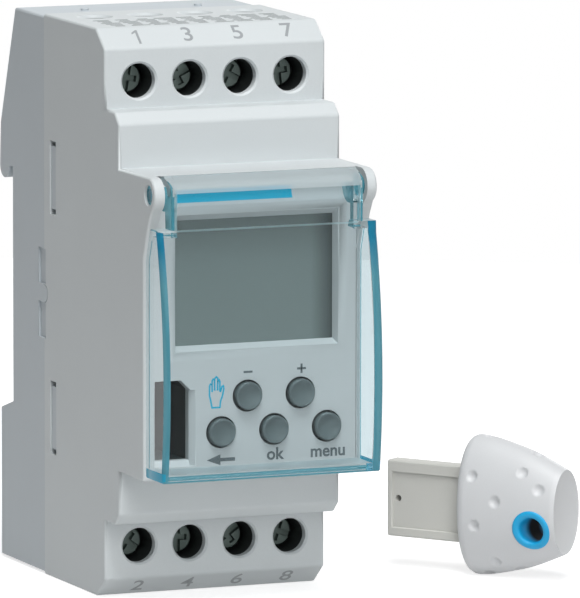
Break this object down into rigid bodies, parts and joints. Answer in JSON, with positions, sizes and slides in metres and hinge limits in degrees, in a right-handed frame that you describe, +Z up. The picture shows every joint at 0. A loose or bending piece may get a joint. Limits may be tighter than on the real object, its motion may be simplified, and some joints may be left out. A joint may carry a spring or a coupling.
{
  "type": "din rail timer",
  "caption": "Modular digital time switch for a 35 mm DIN rail, with a clear hinged cover over display, buttons and key slot, screw terminals above and below, and a loose program key.",
  "frame": {"origin": "middle of the rail's front face, where the rear base seats on it", "axes": "+X to the right seen from the front, +Y from the front towards the rail, +Z up"},
  "size_m": [0.0722, 0.0659, 0.0842],
  "materials": {
    "housing_plastic": "fine moulded grain",
    "panel_plastic": "fine moulded grain",
    "clear_cover": "clear, blue-green tint, polished",
    "button_plastic": "satin",
    "display_glass": "grey-green display cell",
    "white_plastic": "moulded",
    "black_plastic": "moulded",
    "contact_rubber": "banded",
    "circuit_board": "solder mask",
    "contact_brass": "plated",
    "copper_bar": "rolled",
    "coil_copper": "wound wire",
    "bright_steel": "zinc plated",
    "clamp_steel": "yellow passivated",
    "film_capacitor": "moulded box",
    "capacitor_sleeve": "shrink sleeve",
    "varistor_coat": "dipped",
    "key_blade": "satin moulded",
    "key_white": "satin moulded",
    "key_blue": "satin moulded"
  },
  "bodies": {
    "timer": {"rear_base": "housing_plastic", "front_housing": "housing_plastic", "front_panel": "panel_plastic", "lcd_glass": "display_glass", "key_socket": "black_plastic", "lcd_frame": "white_plastic", "lcd_reflector": "white_plastic", "zebra_strips": "contact_rubber", "display_board": "circuit_board", "tact_switches": "black_plastic", "microcontroller": "black_plastic", "quartz_crystal": "bright_steel", "main_board": "circuit_board", "link_header": "black_plastic", "link_pins": "contact_brass", "backup_battery": "bright_steel", "relay_base": "black_plastic", "relay_cover": "black_plastic", "relay_coil": "coil_copper", "relay_yoke": "bright_steel", "relay_fixed_contact": "contact_brass", "x2_capacitor": "film_capacitor", "supply_capacitor": "capacitor_sleeve", "varistor": "varistor_coat", "bridge_rectifier": "black_plastic", "key_contacts": "contact_brass", "upper_terminal_block": "black_plastic", "lower_terminal_block": "black_plastic", "terminal_bars": "copper_bar"},
    "cover": {"cover": "clear_cover"},
    "minus_button": {"minus_button": "button_plastic"},
    "plus_button": {"plus_button": "button_plastic"},
    "back_button": {"back_button": "button_plastic"},
    "ok_button": {"ok_button": "button_plastic"},
    "menu_button": {"menu_button": "button_plastic"},
    "rail_latch": {"rail_latch": "black_plastic"},
    "terminal_screw_1": {"terminal_screw_1": "bright_steel"},
    "terminal_cage_1": {"terminal_cage_1": "clamp_steel"},
    "terminal_screw_2": {"terminal_screw_2": "bright_steel"},
    "terminal_cage_2": {"terminal_cage_2": "clamp_steel"},
    "terminal_screw_3": {"terminal_screw_3": "bright_steel"},
    "terminal_cage_3": {"terminal_cage_3": "clamp_steel"},
    "terminal_screw_4": {"terminal_screw_4": "bright_steel"},
    "terminal_cage_4": {"terminal_cage_4": "clamp_steel"},
    "terminal_screw_5": {"terminal_screw_5": "bright_steel"},
    "terminal_cage_5": {"terminal_cage_5": "clamp_steel"},
    "terminal_screw_6": {"terminal_screw_6": "bright_steel"},
    "terminal_cage_6": {"terminal_cage_6": "clamp_steel"},
    "terminal_screw_7": {"terminal_screw_7": "bright_steel"},
    "terminal_cage_7": {"terminal_cage_7": "clamp_steel"},
    "terminal_screw_8": {"terminal_screw_8": "bright_steel"},
    "terminal_cage_8": {"terminal_cage_8": "clamp_steel"},
    "relay_armature": {"relay_armature": "bright_steel", "relay_moving_contact": "contact_brass"},
    "program_key": {"key_body": "key_blade", "key_grip": "key_white", "key_eyelet": "key_blue", "key_pads": "contact_brass"}
  },
  "joints": [
    {"name": "cover_hinge", "type": "hinge", "parent": "timer", "child": "cover", "pos_m": [0, -0.0549, 0.0198], "axis": [-1, 0, 0], "range_deg": [0, 90]},
    {"name": "minus_button_press", "type": "slide", "parent": "timer", "child": "minus_button", "axis": [0, 1, 0], "range_m": [0, 0.0008], "stiffness_N_per_m": 800},
    {"name": "plus_button_press", "type": "slide", "parent": "timer", "child": "plus_button", "axis": [0, 1, 0], "range_m": [0, 0.0008], "stiffness_N_per_m": 800},
    {"name": "back_button_press", "type": "slide", "parent": "timer", "child": "back_button", "axis": [0, 1, 0], "range_m": [0, 0.0008], "stiffness_N_per_m": 800},
    {"name": "ok_button_press", "type": "slide", "parent": "timer", "child": "ok_button", "axis": [0, 1, 0], "range_m": [0, 0.0008], "stiffness_N_per_m": 800},
    {"name": "menu_button_press", "type": "slide", "parent": "timer", "child": "menu_button", "axis": [0, 1, 0], "range_m": [0, 0.0008], "stiffness_N_per_m": 800},
    {"name": "latch_pull", "type": "slide", "parent": "timer", "child": "rail_latch", "axis": [0, 0, -1], "range_m": [0, 0.003], "stiffness_N_per_m": 2000},
    {"name": "screw_1_turn", "type": "hinge", "parent": "timer", "child": "terminal_screw_1", "pos_m": [-0.012, -0.028, 0.0344], "axis": [0, 1, 0], "range_deg": [0, 1800]},
    {"name": "cage_1_lift", "type": "slide", "parent": "timer", "child": "terminal_cage_1", "axis": [0, -1, 0], "range_m": [0, 0.003]},
    {"name": "screw_2_turn", "type": "hinge", "parent": "timer", "child": "terminal_screw_2", "pos_m": [-0.012, -0.028, -0.0344], "axis": [0, 1, 0], "range_deg": [0, 1800]},
    {"name": "cage_2_lift", "type": "slide", "parent": "timer", "child": "terminal_cage_2", "axis": [0, -1, 0], "range_m": [0, 0.003]},
    {"name": "screw_3_turn", "type": "hinge", "parent": "timer", "child": "terminal_screw_3", "pos_m": [-0.004, -0.028, 0.0344], "axis": [0, 1, 0], "range_deg": [0, 1800]},
    {"name": "cage_3_lift", "type": "slide", "parent": "timer", "child": "terminal_cage_3", "axis": [0, -1, 0], "range_m": [0, 0.003]},
    {"name": "screw_4_turn", "type": "hinge", "parent": "timer", "child": "terminal_screw_4", "pos_m": [-0.004, -0.028, -0.0344], "axis": [0, 1, 0], "range_deg": [0, 1800]},
    {"name": "cage_4_lift", "type": "slide", "parent": "timer", "child": "terminal_cage_4", "axis": [0, -1, 0], "range_m": [0, 0.003]},
    {"name": "screw_5_turn", "type": "hinge", "parent": "timer", "child": "terminal_screw_5", "pos_m": [0.004, -0.028, 0.0344], "axis": [0, 1, 0], "range_deg": [0, 1800]},
    {"name": "cage_5_lift", "type": "slide", "parent": "timer", "child": "terminal_cage_5", "axis": [0, -1, 0], "range_m": [0, 0.003]},
    {"name": "screw_6_turn", "type": "hinge", "parent": "timer", "child": "terminal_screw_6", "pos_m": [0.004, -0.028, -0.0344], "axis": [0, 1, 0], "range_deg": [0, 1800]},
    {"name": "cage_6_lift", "type": "slide", "parent": "timer", "child": "terminal_cage_6", "axis": [0, -1, 0], "range_m": [0, 0.003]},
    {"name": "screw_7_turn", "type": "hinge", "parent": "timer", "child": "terminal_screw_7", "pos_m": [0.012, -0.028, 0.0344], "axis": [0, 1, 0], "range_deg": [0, 1800]},
    {"name": "cage_7_lift", "type": "slide", "parent": "timer", "child": "terminal_cage_7", "axis": [0, -1, 0], "range_m": [0, 0.003]},
    {"name": "screw_8_turn", "type": "hinge", "parent": "timer", "child": "terminal_screw_8", "pos_m": [0.012, -0.028, -0.0344], "axis": [0, 1, 0], "range_deg": [0, 1800]},
    {"name": "cage_8_lift", "type": "slide", "parent": "timer", "child": "terminal_cage_8", "axis": [0, -1, 0], "range_m": [0, 0.003]},
    {"name": "armature_swing", "type": "hinge", "parent": "timer", "child": "relay_armature", "pos_m": [-0.00745, -0.00835, 0.0124], "axis": [-1, 0, 0], "range_deg": [0, 2], "stiffness_Nm_per_rad": 0.02},
    {"name": "key_lift", "type": "slide", "parent": "timer", "child": "program_key", "axis": [0, 0, 1], "range_m": [0, 0.08]}
  ],
  "couplings": [
    {"joint": "screw_1_turn", "follows": "cage_1_lift", "rad_per_m": 10472},
    {"joint": "screw_2_turn", "follows": "cage_2_lift", "rad_per_m": 10472},
    {"joint": "screw_3_turn", "follows": "cage_3_lift", "rad_per_m": 10472},
    {"joint": "screw_4_turn", "follows": "cage_4_lift", "rad_per_m": 10472},
    {"joint": "screw_5_turn", "follows": "cage_5_lift", "rad_per_m": 10472},
    {"joint": "screw_6_turn", "follows": "cage_6_lift", "rad_per_m": 10472},
    {"joint": "screw_7_turn", "follows": "cage_7_lift", "rad_per_m": 10472},
    {"joint": "screw_8_turn", "follows": "cage_8_lift", "rad_per_m": 10472}
  ]
}
